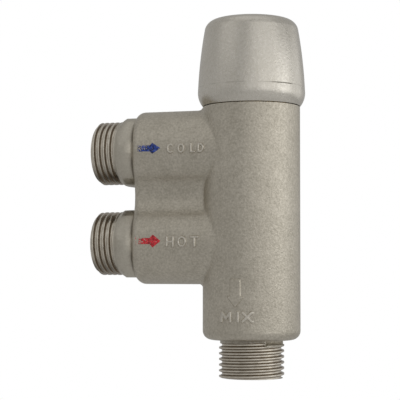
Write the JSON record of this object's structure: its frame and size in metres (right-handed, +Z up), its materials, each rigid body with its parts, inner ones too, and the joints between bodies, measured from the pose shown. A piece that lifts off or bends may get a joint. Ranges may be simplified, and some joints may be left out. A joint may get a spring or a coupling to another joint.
{
  "type": "thermostatic mixing valve",
  "caption": "Compact thermostatic mixing valve with two threaded side inlets, a bottom outlet and a turning control cap.",
  "frame": {"origin": "centre of the outlet nipple's end face, on the barrel's axis", "axes": "+Z up the barrel to the control cap, -X out of the inlets, -Y out of the marked front"},
  "size_m": [0.0696, 0.0348, 0.1154],
  "materials": {
    "cast_nickel": "satin",
    "cap_nickel": "satin",
    "turned_nickel": "satin",
    "bare_brass": "satin",
    "copper": "satin",
    "stainless": "satin",
    "black_rubber": "matte",
    "white_plastic": "matte",
    "blue_paint": "gloss",
    "red_paint": "gloss"
  },
  "bodies": {
    "root": {"valve_body": "cast_nickel", "bonnet": "bare_brass", "bonnet_ring": "black_rubber", "hot_seat": "stainless", "return_spring": "stainless", "cold_inlet_union": "turned_nickel", "cold_union_seal": "black_rubber", "cold_filter_basket": "stainless", "cold_check_housing": "white_plastic", "cold_check_ring": "black_rubber", "cold_check_guide": "white_plastic", "cold_check_spring": "stainless", "hot_inlet_union": "turned_nickel", "hot_union_seal": "black_rubber", "hot_filter_basket": "stainless", "hot_check_housing": "white_plastic", "hot_check_ring": "black_rubber", "hot_check_guide": "white_plastic", "hot_check_spring": "stainless"},
    "knob": {"control_cap": "cap_nickel", "cap_screw": "stainless", "spindle": "bare_brass", "spindle_ring": "black_rubber", "spindle_clip": "stainless"},
    "thrust": {"thrust_nut": "bare_brass", "plunger_stop": "stainless", "overload_spring": "stainless"},
    "pusher": {"plunger": "bare_brass", "wax_piston": "stainless"},
    "thermostat": {"wax_capsule": "copper", "shuttle": "white_plastic", "shuttle_ring": "black_rubber"},
    "cold_flap": {"cold_check_poppet": "white_plastic"},
    "hot_flap": {"hot_check_poppet": "white_plastic"}
  },
  "joints": [
    {"name": "cap_turn", "type": "hinge", "parent": "root", "child": "knob", "pos_m": [0, 0, 0.1], "axis": [0, 0, 1], "range_deg": [-175, 175]},
    {"name": "nut_travel", "type": "slide", "parent": "root", "child": "thrust", "axis": [0, 0, 1], "range_m": [-0.001, 0.001]},
    {"name": "overload_travel", "type": "slide", "parent": "thrust", "child": "pusher", "axis": [0, 0, 1], "range_m": [0, 0.002], "stiffness_N_per_m": 10000, "springref_m": -0.004, "deforming": ["overload_spring"]},
    {"name": "shuttle_travel", "type": "slide", "parent": "root", "child": "thermostat", "axis": [0, 0, 1], "range_m": [-0.00055, 0.00055], "stiffness_N_per_m": 2500, "deforming": ["return_spring"]},
    {"name": "cold_check_travel", "type": "slide", "parent": "root", "child": "cold_flap", "axis": [1, 0, 0], "range_m": [0, 0.0022], "stiffness_N_per_m": 200, "springref_m": -0.002, "deforming": ["cold_check_spring"]},
    {"name": "hot_check_travel", "type": "slide", "parent": "root", "child": "hot_flap", "axis": [1, 0, 0], "range_m": [0, 0.0022], "stiffness_N_per_m": 200, "springref_m": -0.002, "deforming": ["hot_check_spring"]}
  ],
  "couplings": [
    {"joint": "nut_travel", "follows": "cap_turn", "m_per_rad": 0.00031831}
  ]
}
